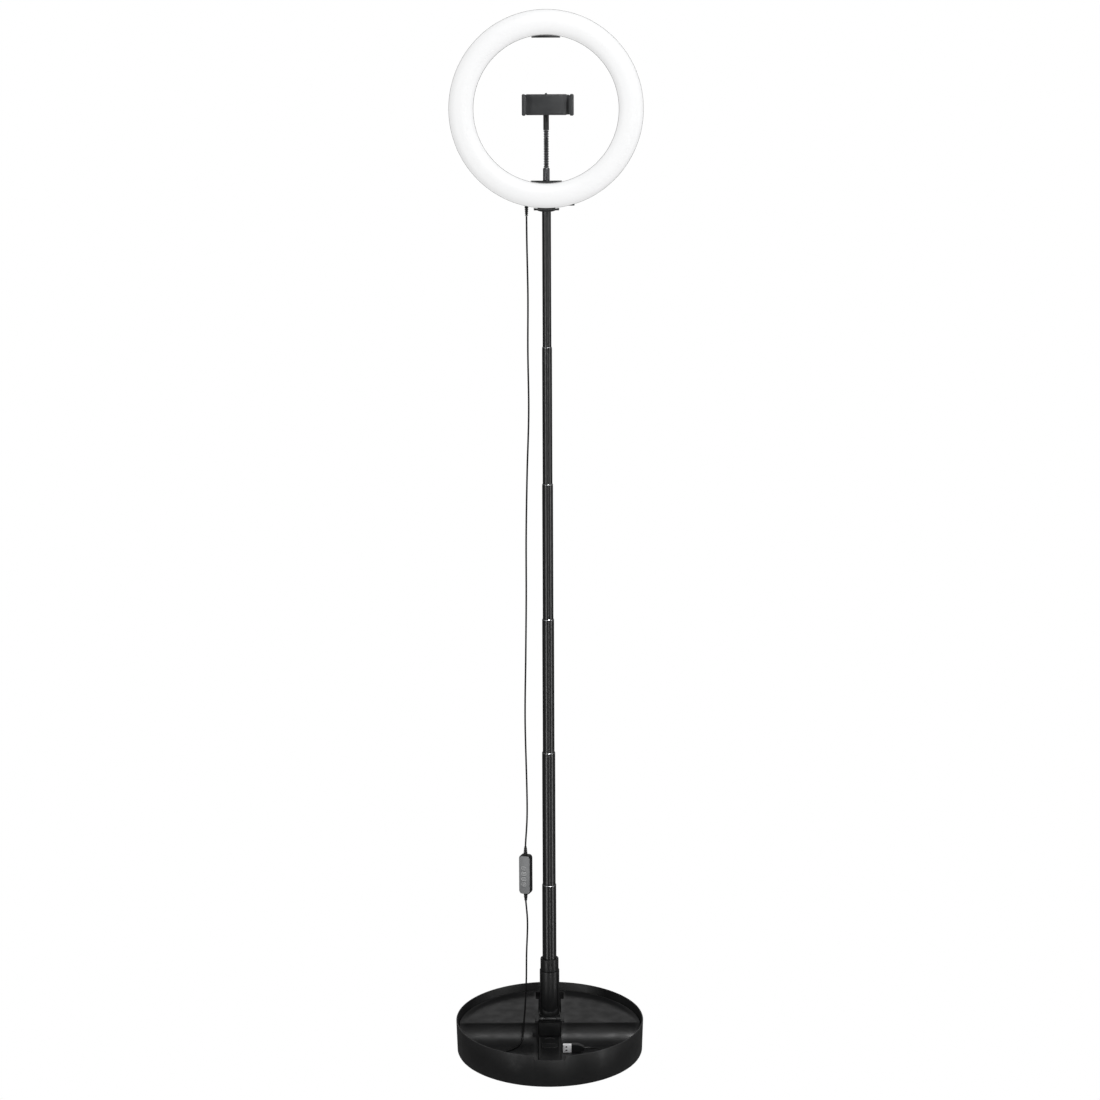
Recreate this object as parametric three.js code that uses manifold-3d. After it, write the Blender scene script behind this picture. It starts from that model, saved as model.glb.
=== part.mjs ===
// A ring light on a telescopic mast that folds into a round storage base.
// Millimetres, +Z up. The origin is under the middle of the base, and the lit face looks along -Y.
import * as THREE from "three";
import { mergeVertices } from "three/addons/utils/BufferGeometryUtils.js";
import Module from "manifold-3d";

const wasm = await Module();
wasm.setup();

// ---- Driving dimensions ----
const GAP = 0.3; // clearance between pieces that touch

const BASE_RADIUS = 134.9;
const BASE_HEIGHT = 46.8;
const BASE_WALL = 2;
const FOOT_LIFT = 0.8; // how far the pan's underside stands off the floor
const PAN_FLOOR_TOP = 3;
const NOTCH_WIDTH = 44;
const NOTCH_DEPTH = 6;
const SHELF_TOP = 34.8;
const SHELF_EDGE_Y = 10;
const COVE_RADIUS = 25;
const WELL_FLOOR = 9.6;
const TRAY_THICKNESS = 2;

const RAIL_WIDTH = 31;
const RAIL_TOP = 24;
const RAIL_END_Y = 122;
const BLOCK_TOP = 45.7;
const FLANGE_WIDTH = 42;
const FLANGE_DEPTH = 30;
const FLANGE_THICKNESS = 1.8;
const FOLD_Y = -15.5; // axis of the mast's fold hinge
const FOLD_Z = 51.2;

const SOCKET_RADIUS = 14.1;
const SOCKET_BOTTOM = 54.4;
const SOCKET_TOP = 120.4;
const COLLAR_RADIUS = 13.05;
const COLLAR_TOP = 138.6;
// Outer radius and upper end of each mast tube, from the thickest to the thinnest.
const MAST_RADII = [10, 9.25, 8.3, 7.5, 6.75, 6];
const MAST_TOPS = [249.5, 445, 637.2, 827.6, 1016, 1199.5];
const MAST_WALL = 0.55;
const MAST_OVERLAP = 16; // how far each tube still reaches into the next when drawn out

const RING_Z = 1332.4;
const RING_OUTER = 130;
const RING_INNER = 97;
const RING_HALF_DEPTH = 11;
const SHELL = 1.6;
const TILT_Y = 23;
const TILT_Z = 1216;
const TILT_LUG_RADIUS = 5.5;

const NECK_BOTTOM = 1240;
const FERRULE_TOP = 1256;
const FLEX_TOP = 1305;
const SLEEVE_TOP = 1335;
const HOLDER_Z = 1338.2;
const HOLDER_X = 2.3; // the clamp's middle; its screw and ball stay on the axis
const HOLDER_HALF_WIDTH = 34.4;
const JAW_HEIGHT = 28.2;
const PLATE_HEIGHT = 26.4;
const PLATE_Y = -8;
const PLATE_THICKNESS = 5;

const CORD_RADIUS = 1.2;
const SWITCH = { x: -33.6, y: 8, low: 232.9, high: 290.6, width: 18.2, depth: 12 };
const SWITCH_TURN = -20; // degrees about the cord, so that the keys face a little outwards
const KEY_PITCH = 8;
const COIL = { x: -72, y: -78, middle: 13, half: 3.6 };

// ---- Materials ----
const material = (color, roughness, metalness = 0) =>
  new THREE.MeshStandardMaterial({ color, roughness, metalness });
const looks = {
  blackPlastic: material(0x1b1c1d, 0.55),
  satinPlastic: material(0x2c2e30, 0.45),
  blackEnamel: material(0x141416, 0.22, 0.4),
  steel: material(0xb8babd, 0.3, 1),
  rawSteel: material(0x6d6f72, 0.5, 1),
  opal: material(0xf6f7f8, 0.4),
  board: material(0xe6e8e2, 0.55),
  rubber: material(0x151515, 0.85),
  greyPlastic: material(0x6f7276, 0.5),
  cord: material(0x232325, 0.6),
};

// ---- Geometry helpers ----
function solid(geometry) {
  const bare = geometry.clone();
  bare.deleteAttribute("normal");
  bare.deleteAttribute("uv");
  const merged = mergeVertices(bare, 1e-3);
  const triVerts = new Uint32Array(merged.index.array);
  const build = () =>
    new wasm.Manifold(
      new wasm.Mesh({ numProp: 3, vertProperties: merged.attributes.position.array, triVerts }),
    );
  const made = build();
  if (made.volume() >= 0) return made;
  for (let i = 0; i < triVerts.length; i += 3) {
    [triVerts[i + 1], triVerts[i + 2]] = [triVerts[i + 2], triVerts[i + 1]];
  }
  return build();
}

const join = (...solids) => solids.reduce((whole, s) => whole.add(s));
const cut = (body, ...tools) => tools.reduce((left, s) => left.subtract(s), body);

function box(low, high) {
  const size = high.map((h, i) => h - low[i]);
  const geometry = new THREE.BoxGeometry(...size);
  return solid(geometry.translate(...low.map((l, i) => l + size[i] / 2)));
}

// A profile of [radius, height] turned about the Z axis.
function turned(profile, segments = 24) {
  const points = profile.map(([r, z]) => new THREE.Vector2(r, z));
  return solid(new THREE.LatheGeometry(points, segments).rotateX(Math.PI / 2));
}

// The same, about the Y axis through height z.
function turnedAboutY(profile, segments, z) {
  const points = profile.map(([r, y]) => new THREE.Vector2(r, y));
  return solid(new THREE.LatheGeometry(points, segments).translate(0, 0, z));
}

const rod = (radius, low, high, segments) =>
  turned([[0, low], [radius, low], [radius, high], [0, high]], segments);
const pipe = (outer, inner, low, high, segments) =>
  turned([[inner, low], [outer, low], [outer, high], [inner, high], [inner, low]], segments);
const alongX = (s, y, z) => s.rotate([0, 90, 0]).translate([0, y, z]);
const alongY = (s, x, z) => s.rotate([-90, 0, 0]).translate([x, 0, z]);

// An outline in the YZ plane, extruded along X between two places.
function extrudedX(outline, from, to) {
  const shape = new THREE.Shape(outline.map(([y, z]) => new THREE.Vector2(y, z)));
  const geometry = new THREE.ExtrudeGeometry(shape, { depth: to - from, bevelEnabled: false });
  geometry.rotateX(Math.PI / 2).rotateZ(Math.PI / 2);
  return solid(geometry.translate(from, 0, 0));
}

function roundedBox(halfX, halfZ, radius, lowY, highY) {
  const shape = new THREE.Shape();
  const corners = [[1, 1, 0], [-1, 1, 1], [-1, -1, 2], [1, -1, 3]];
  corners.forEach(([sx, sz, quarter]) => {
    const start = (quarter * Math.PI) / 2;
    const cx = sx * (halfX - radius);
    const cz = sz * (halfZ - radius);
    shape.absarc(cx, cz, radius, start, start + Math.PI / 2, false);
  });
  const options = { depth: highY - lowY, bevelEnabled: false, curveSegments: 2 };
  const geometry = new THREE.ExtrudeGeometry(shape, options).rotateX(Math.PI / 2);
  return solid(geometry.translate(0, highY, 0));
}

const root = new THREE.Group();

function add(group, name, shape, look) {
  const made = shape.getMesh();
  const geometry = new THREE.BufferGeometry();
  geometry.setAttribute("position", new THREE.BufferAttribute(made.vertProperties, 3));
  geometry.setIndex(new THREE.BufferAttribute(made.triVerts, 1));
  const mesh = new THREE.Mesh(geometry.toNonIndexed(), look);
  mesh.geometry.computeVertexNormals();
  mesh.name = name;
  group.add(mesh);
  return mesh;
}

function section() {
  const group = new THREE.Group();
  root.add(group);
  return group;
}

// ---- Base: pan, tray, rail, ballast, feet and latch ----
function buildBase() {
  const group = section();
  const inner = BASE_RADIUS - BASE_WALL;
  const edge = 1.4; // the pan narrows a little towards the floor
  const pan = turned(
    [
      [0, FOOT_LIFT],
      [BASE_RADIUS - edge - 1.5, FOOT_LIFT],
      [BASE_RADIUS - edge, FOOT_LIFT + 1.5],
      [BASE_RADIUS, BASE_HEIGHT - 0.6],
      [BASE_RADIUS - 0.6, BASE_HEIGHT],
      [inner, BASE_HEIGHT],
      [inner - edge, PAN_FLOOR_TOP],
      [0, PAN_FLOOR_TOP],
    ],
    72,
  );
  const notchTop = BASE_HEIGHT - NOTCH_DEPTH;
  const half = NOTCH_WIDTH / 2;
  const notchFront = -BASE_RADIUS - 5;
  const notchBack = -BASE_RADIUS + 20;
  const notch = box([-half, notchFront, notchTop], [half, notchBack, BASE_HEIGHT + 5]);
  add(group, "base_pan", cut(pan, notch), looks.blackPlastic);

  // Shelf at the back, cove, and the floor of the front well, all one moulding.
  const coveY = SHELF_EDGE_Y - COVE_RADIUS;
  const coveZ = WELL_FLOOR + COVE_RADIUS;
  const outline = [[140, SHELF_TOP], [SHELF_EDGE_Y, SHELF_TOP]];
  const steps = 8;
  for (let i = 0; i <= steps; i += 1) {
    const angle = (-Math.PI / 2) * (i / steps);
    outline.push([
      coveY + COVE_RADIUS * Math.cos(angle),
      coveZ + COVE_RADIUS * Math.sin(angle),
    ]);
  }
  outline.push([-140, WELL_FLOOR], [-140, WELL_FLOOR - TRAY_THICKNESS]);
  for (let i = steps; i >= 0; i -= 1) {
    const angle = (-Math.PI / 2) * (i / steps);
    const radius = COVE_RADIUS + TRAY_THICKNESS;
    outline.push([coveY + radius * Math.cos(angle), coveZ + radius * Math.sin(angle)]);
  }
  outline[outline.length - 1][1] = SHELF_TOP - TRAY_THICKNESS;
  outline.push([140, SHELF_TOP - TRAY_THICKNESS]);
  const disc = rod(inner - edge - GAP, 4, BASE_HEIGHT, 72);
  const slotHalf = RAIL_WIDTH / 2 + 1.2;
  const slot = box([-slotHalf, -150, 0], [slotHalf, 112, 60]);
  const ears = box([-FLANGE_WIDTH / 2, 97, 0], [FLANGE_WIDTH / 2, 126, 60]);
  const tray = cut(extrudedX(outline, -140, 140).intersect(disc), slot, ears);
  add(group, "tray", tray, looks.blackPlastic);

  // Rail with a T-slot that the carriage's key runs in.
  const railHalf = RAIL_WIDTH / 2;
  const rail = box([-railHalf, -RAIL_END_Y, PAN_FLOOR_TOP + GAP], [railHalf, RAIL_END_Y, RAIL_TOP]);
  const groove = box([-5, -16, 12], [5, RAIL_END_Y - 1, RAIL_TOP + 1]);
  const pocket = box([-10, -16, 9], [10, RAIL_END_Y - 1, 17]);
  const well = box([-11.5, -55, 14], [11.5, -39, RAIL_TOP + 1]);
  const wellDrop = box([-4, -51, 8], [4, -43, 15]);
  add(group, "rail", cut(rail, groove, pocket, well, wellDrop), looks.blackPlastic);

  [-1, 1].forEach((side) => {
    const slab = rod(124, PAN_FLOOR_TOP + GAP, 16, 48);
    const keepLow = [side < 0 ? -130 : slotHalf + 1, 16, 0];
    const keepHigh = [side < 0 ? -slotHalf - 1 : 130, 130, 40];
    const plate = slab.intersect(box(keepLow, keepHigh));
    add(group, side < 0 ? "ballast_left" : "ballast_right", plate, looks.rawSteel);
  });

  const footRing = pipe(118, 106, 0, FOOT_LIFT - 0.1, 48);
  add(group, "rubber_foot", footRing, looks.rubber);

  // Push latch in front of the carriage, with a grip rib along two edges, on a bent leaf spring.
  const ribs = [-53.6, -40.6].map((y) => box([-11, y - 0.7, 24], [11, y + 0.7, 25.3]));
  const cap = box([-11.2, -54.5, 19], [11.2, -39.5, 24.4]);
  add(group, "latch_button", join(cap, ...ribs), looks.satinPlastic);
  const leaf = extrudedX(
    [[-54, 14.4], [-40, 14.4], [-40, 15.2], [-45, 15.2], [-47, 16.3], [-49, 15.2], [-54, 15.2]],
    -5,
    5,
  );
  add(group, "latch_spring", leaf, looks.steel);
}

// ---- Carriage: block with key, flange and hinge knuckles ----
function buildCarriage() {
  const group = section();
  const half = RAIL_WIDTH / 2;
  const block = box([-half, -half, RAIL_TOP + GAP], [half, half, BLOCK_TOP]);
  const neck = box([-4.6, -14, 15], [4.6, 14, RAIL_TOP + 1]);
  const key = box([-9.6, -14, 9.6], [9.6, 14, 16.4]);
  add(group, "carriage_block", join(block, neck, key), looks.blackPlastic);

  const flangeLow = BLOCK_TOP + GAP;
  const flange = box(
    [-FLANGE_WIDTH / 2, -FLANGE_DEPTH / 2 - 0.5, flangeLow],
    [FLANGE_WIDTH / 2, FLANGE_DEPTH / 2, flangeLow + FLANGE_THICKNESS],
  );
  const knuckles = [-1, 1].map((side) => {
    const barrel = alongX(rod(3, 8, 16, 20), FOLD_Y, FOLD_Z);
    const web = box([8, FOLD_Y - 2, flangeLow + 1], [16, FOLD_Y + 3, FOLD_Z]);
    return join(barrel, web).scale([side, 1, 1]);
  });
  const bore = alongX(rod(1.8, -30, 30, 16), FOLD_Y, FOLD_Z);
  add(group, "carriage_flange", cut(join(flange, ...knuckles), bore), looks.blackPlastic);
  add(group, "hinge_pin", alongX(rod(1.5, -15.8, 15.8, 16), FOLD_Y, FOLD_Z), looks.steel);
}

// ---- Post: hinge foot, socket with a panel line in its front, collar ----
function buildPost() {
  const group = section();
  const footLow = BLOCK_TOP + 2 * GAP + FLANGE_THICKNESS;
  const plate = join(
    rod(15.2, footLow, SOCKET_BOTTOM - GAP, 32),
    box([-7.6, FOLD_Y, footLow + 0.6], [7.6, -8, SOCKET_BOTTOM - GAP]),
  );
  const barrel = alongX(rod(3, -7.6, 7.6, 20), FOLD_Y, FOLD_Z);
  const relief = [-1, 1].map((side) => {
    const low = side < 0 ? -17 : 7.7;
    return box([low, FOLD_Y - 5, footLow - 1], [low + 9.3, FOLD_Y + 3.6, SOCKET_BOTTOM]);
  });
  const bore = alongX(rod(1.8, -30, 30, 16), FOLD_Y, FOLD_Z);
  add(group, "hinge_foot", cut(join(cut(plate, ...relief), barrel), bore), looks.blackPlastic);

  const sleeve = pipe(SOCKET_RADIUS, MAST_RADII[0] + GAP, SOCKET_BOTTOM, SOCKET_TOP, 32);
  // A shallow U-shaped line outlines a panel in the front of the sleeve.
  const panel = (half, low, top) =>
    join(
      roundedBox(half, 14, 7, -20, -5).translate([0, 0, low + 14]),
      box([-half, -20, low + 14], [half, -5, top]),
    );
  const skin = pipe(SOCKET_RADIUS + 1, SOCKET_RADIUS - 0.7, SOCKET_BOTTOM, SOCKET_TOP, 32);
  const line = cut(panel(11.6, 61, 115), panel(11, 61.6, 116)).intersect(skin);
  add(group, "socket", cut(sleeve, line), looks.blackPlastic);

  const collar = turned(
    [
      [MAST_RADII[0] + GAP, SOCKET_TOP + GAP],
      [COLLAR_RADIUS, SOCKET_TOP + GAP],
      [COLLAR_RADIUS, COLLAR_TOP - 1.2],
      [COLLAR_RADIUS - 1, COLLAR_TOP],
      [MAST_RADII[0] + GAP, COLLAR_TOP],
      [MAST_RADII[0] + GAP, SOCKET_TOP + GAP],
    ],
    32,
  );
  add(group, "clamp_collar", collar, looks.satinPlastic);
}

// ---- Mast: six nested tubes ----
function buildMast() {
  const group = section();
  MAST_RADII.forEach((radius, i) => {
    const low = i === 0 ? SOCKET_BOTTOM + GAP : MAST_TOPS[i - 1] - MAST_OVERLAP;
    const top = MAST_TOPS[i];
    const inner = radius - MAST_WALL;
    // The rim is rolled inwards on every tube that another one slides in.
    const mouth = i < 5 ? MAST_RADII[i + 1] + 0.02 : inner;
    const profile = [
      [inner, low],
      [radius, low],
      [radius, top - 0.5],
      [radius - 0.3, top],
      [mouth, top],
      [mouth, top - 1],
      [inner, top - 1],
      [inner, low],
    ];
    const straight = [[inner, low], [radius, low], [radius, top], [inner, top], [inner, low]];
    const tube = turned(mouth < inner ? profile : straight, 24);
    add(group, `mast_tube_${i + 1}`, tube, looks.blackEnamel);
  });
}

// ---- Head bracket on top of the mast, with the tilt bolt and its knob ----
function buildHead() {
  const group = section();
  const web = [[9, 1199.8], [27, 1212], [27, 1218], [18, 1218], [13, 1208], [4, 1201.8]];
  const saddle = join(box([-17, -7, 1199.8], [17, 12.5, 1201.8]), extrudedX(web, -12, 12));
  const eye = alongX(rod(TILT_LUG_RADIUS, -12, 12, 24), TILT_Y, TILT_Z);
  const lugSlot = box([-4.3, 10, 1206], [4.3, 34, 1230]);
  const bore = alongX(rod(2.3, -30, 30, 16), TILT_Y, TILT_Z);
  const spigot = rod(MAST_RADII[5] - MAST_WALL - GAP, 1184, 1200, 20);
  const bracket = cut(join(saddle, eye), lugSlot, bore);
  add(group, "head_bracket", join(bracket, spigot), looks.blackPlastic);

  const bolt = join(rod(2, -13.4, 24, 16), rod(4, -15.4, -12.4, 6));
  add(group, "tilt_bolt", alongX(bolt, TILT_Y, TILT_Z), looks.steel);
  const lobes = [0, 1, 2, 3, 4, 5].map((i) => {
    const angle = (i * Math.PI) / 3;
    return rod(3, 24, 38, 12).translate([8 * Math.cos(angle), 8 * Math.sin(angle), 0]);
  });
  const knobBore = rod(2.3, 10, 25.5, 16);
  const knob = cut(join(rod(9, 24, 38, 24), rod(5, 12.6, 24.2, 20), ...lobes), knobBore);
  add(group, "tilt_knob", alongX(knob, TILT_Y, TILT_Z), looks.blackPlastic);
}

// ---- Ring: rear housing, opal diffuser, LED board, yoke, bosses, screws, gland ----
function ringSection(offset, side, from, to, steps) {
  const middle = (RING_OUTER + RING_INNER) / 2;
  const half = (RING_OUTER - RING_INNER) / 2 - offset;
  const depth = RING_HALF_DEPTH - offset;
  const points = [];
  for (let i = 0; i <= steps; i += 1) {
    const angle = from + ((to - from) * i) / steps;
    points.push([middle + half * Math.cos(angle), side * depth * Math.sin(angle)]);
  }
  return points;
}

function halfShell(side, seam, steps) {
  const outer = ringSection(0, side, 0, Math.PI, steps);
  const inner = ringSection(SHELL, side, Math.PI, 0, steps);
  outer[0][1] = side * seam;
  outer[steps][1] = side * seam;
  inner[0][1] = side * seam;
  inner[steps][1] = side * seam;
  return [...outer, ...inner, outer[0]];
}

// The room inside the ring's shells, as a solid.
function ringCore() {
  const outline = ringSection(SHELL, 1, 0, 2 * Math.PI, 12);
  return turnedAboutY(outline, 56, RING_Z);
}

function buildRing() {
  const group = section();
  const segments = 56;
  const diffuser = turnedAboutY(halfShell(-1, 0.15, 8), segments, RING_Z);
  add(group, "diffuser", diffuser, looks.opal);
  const housing = turnedAboutY(halfShell(1, 0.15, 6), segments, RING_Z);
  const yokeLug = join(
    alongX(rod(TILT_LUG_RADIUS, -4, 4, 24), TILT_Y, TILT_Z),
    box([-4, 9, TILT_Z - 2], [4, TILT_Y, TILT_Z + TILT_LUG_RADIUS]),
  );
  const yokeBore = alongX(rod(2.3, -10, 10, 16), TILT_Y, TILT_Z);
  const gland = cut(box([-31, 5, 1207.5], [-23, 18, 1216]), ringCore());
  const shell = cut(join(housing, yokeLug, gland), yokeBore);
  add(group, "rear_housing", shell, looks.blackPlastic);

  const board = [[102, 2.6], [125, 2.6], [125, 4], [102, 4], [102, 2.6]];
  const strip = turnedAboutY(board, 40, RING_Z);
  const leds = Array.from({ length: 20 }, (_, i) => {
    const turn = (i * 360) / 20;
    return box([-2.5, 0.8, 111], [2.5, 2.7, 116]).rotate([0, turn, 0]).translate([0, 0, RING_Z]);
  });
  add(group, "led_board", join(strip, ...leds), looks.board);

  const screwAngles = [35, 145];
  screwAngles.forEach((degrees, i) => {
    const angle = (degrees * Math.PI) / 180;
    const x = 113.5 * Math.cos(angle);
    const z = RING_Z + 113.5 * Math.sin(angle);
    const screw = alongY(rod(2.6, RING_HALF_DEPTH + GAP, RING_HALF_DEPTH + 1.9, 12), x, z);
    add(group, `housing_screw_${i + 1}`, screw, looks.steel);
  });

  // Black bosses inside the ring, at the top and at the foot of the phone arm.
  const bossCutter = rod(RING_INNER - 0.3, -10, 10, 96).rotate([90, 0, 0]).translate([0, 0, RING_Z]);
  const top = box([-19, -4, RING_Z + 93.4], [19, 6, RING_Z + 99]).intersect(bossCutter);
  add(group, "accessory_boss", top, looks.blackPlastic);
  const low = box([-21, -5, RING_Z - 99], [21, 7, RING_Z - 93.4]).intersect(bossCutter);
  add(group, "arm_boss", low, looks.blackPlastic);

  const relief = turned([[0, 1192], [1.9, 1192], [2.9, 1207.2], [0, 1207.2]], 12);
  add(group, "gland_relief", relief.translate([-27, 14.6, 0]), looks.rubber);
}

// ---- Phone arm: ferrule, gooseneck, sleeve, ball, holder and jaws ----
function buildHolder() {
  const group = section();
  add(group, "arm_ferrule", rod(4.5, NECK_BOTTOM - 0.9, FERRULE_TOP, 20), looks.blackEnamel);
  add(group, "gooseneck", rod(3.7, FERRULE_TOP + GAP, FLEX_TOP, 16), looks.blackEnamel);
  const sleeve = rod(3.8, FLEX_TOP + GAP, SLEEVE_TOP, 16);
  const ball = new THREE.SphereGeometry(5, 16, 10).translate(0, 0, HOLDER_Z);
  add(group, "arm_sleeve", join(sleeve, solid(ball)), looks.satinPlastic);

  const cup = cut(
    alongY(rod(7.2, -6.6, 2.1, 24), 0, HOLDER_Z),
    solid(new THREE.SphereGeometry(5.3, 16, 10).translate(0, 0, HOLDER_Z)),
    box([-4.2, -9, HOLDER_Z - 12], [4.2, 9, HOLDER_Z]),
  );
  add(group, "ball_nut", cup, looks.satinPlastic);

  const plateHalf = PLATE_HEIGHT / 2;
  const plateLeft = HOLDER_X - HOLDER_HALF_WIDTH + 5.2;
  const plateRight = HOLDER_X + 25.4;
  const plateMiddle = (plateLeft + plateRight) / 2;
  const plate = roundedBox((plateRight - plateLeft) / 2, plateHalf, 1.5, -PLATE_THICKNESS, 0)
    .translate([plateMiddle, PLATE_Y, HOLDER_Z]);
  const track = box([-14, PLATE_Y - 3.4, HOLDER_Z - 6.2], [42, PLATE_Y - 1.6, HOLDER_Z + 6.2]);
  const screwZ = HOLDER_Z + plateHalf - 0.2;
  const screw = turned([[0, screwZ], [1.7, screwZ], [1.2, screwZ + 1.6], [0, screwZ + 1.8]], 12)
    .translate([0, PLATE_Y - 2.5, 0]);
  add(group, "holder_plate", join(cut(plate, track), screw), looks.satinPlastic);

  // The left jaw is fixed. The right one slides out on its guide against a spring.
  const jawAt = (low, high) =>
    roundedBox((high - low) / 2, JAW_HEIGHT / 2, 2, -16, 0.8)
      .translate([HOLDER_X + (low + high) / 2, PLATE_Y, HOLDER_Z]);
  const block = (low, high, back, front, half) =>
    box([low, -front, -half], [high, -back, half]).translate([HOLDER_X, PLATE_Y, HOLDER_Z]);
  const rightJaw = join(
    jawAt(29, HOLDER_HALF_WIDTH),
    block(27.8, 29.5, 5.6, 15, 11), // pad
    block(25.8, 29.5, 0.6, 4.4, 12.4), // heel
    block(-16, 31, 1.9, 3.1, 5.8), // guide
  );
  add(group, "jaw_right", rightJaw, looks.satinPlastic);
  const leftJaw = join(jawAt(-HOLDER_HALF_WIDTH, -29.5), block(-30, -28.6, 5.6, 15, 11));
  add(group, "jaw_left", leftJaw, looks.satinPlastic);
}

// ---- Cord: hanging lengths, inline switch, coil, tail and plug ----
function tube(points, name, group, step) {
  const curve = new THREE.CatmullRomCurve3(points.map((p) => new THREE.Vector3(...p)));
  const shape = new THREE.Shape();
  shape.absarc(0, 0, CORD_RADIUS, 0, 2 * Math.PI, false);
  const steps = Math.ceil(curve.getLength() / step);
  const options = { steps, extrudePath: curve, curveSegments: 4, bevelEnabled: false };
  add(group, name, solid(new THREE.ExtrudeGeometry(shape, options)), looks.cord);
}

// Points that the hanging cord goes through, from the gland down to the switch.
const HANGING = [
  [-27, 14.6, 1191.7],
  [-26.8, 13.8, 1160],
  [-25.7, 12.6, 1085],
  [-26.2, 12, 1012],
  [-25.5, 11.6, 925],
  [-28.2, 11.2, 839],
  [-30, 10.8, 752],
  [-30.4, 10.4, 666],
  [-31.6, 10, 580],
  [-33, 9.4, 493],
  [-31, 8.6, 350],
  [-33.6, 8, 302.7],
];
// From the switch to just above the base, and from there over the cove to the coil.
const LOWER = [
  [-33.6, 8, 222.1],
  [-31.4, 7.8, 190],
  [-33, 7, 140],
  [-33.6, 6, 100],
  [-35.5, 4, 60],
];
const LANDING = [
  [-35.5, 4, 59.7],
  [-37.2, 1.6, 40],
  [-38.4, -2.5, 23],
  [-42, -12, 12.8],
  [-52, -26, 11.1],
  [-66, -38, 11.1],
  [-79, -50, 11.1],
  [-87.4, -67.9, 11.1],
];
// From the coil over the rail, round the well and back to the plug.
const TAIL = [
  [-61.9, -93.4, 14.6],
  [-54, -95, 12],
  [-46, -102, 11.1],
  [-38, -107.5, 12],
  [-28, -109, 17],
  [-20, -109, 24],
  [-12, -109, 26.4],
  [0, -109, 26.6],
  [12, -109, 26.4],
  [20, -109, 24],
  [28, -109, 17],
  [38, -109, 12],
  [50, -106, 11.1],
  [66, -98, 11.1],
  [82, -82, 11.1],
  [88, -63, 11.4],
  [82, -46, 13.2],
  [72, -39, 15.4],
  [58.3, -37, 16.2],
];
// Where the hanging cord is divided, one length to each mast joint.
const CORD_BREAKS = [1160, 1012, 839, 666, 493];

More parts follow.
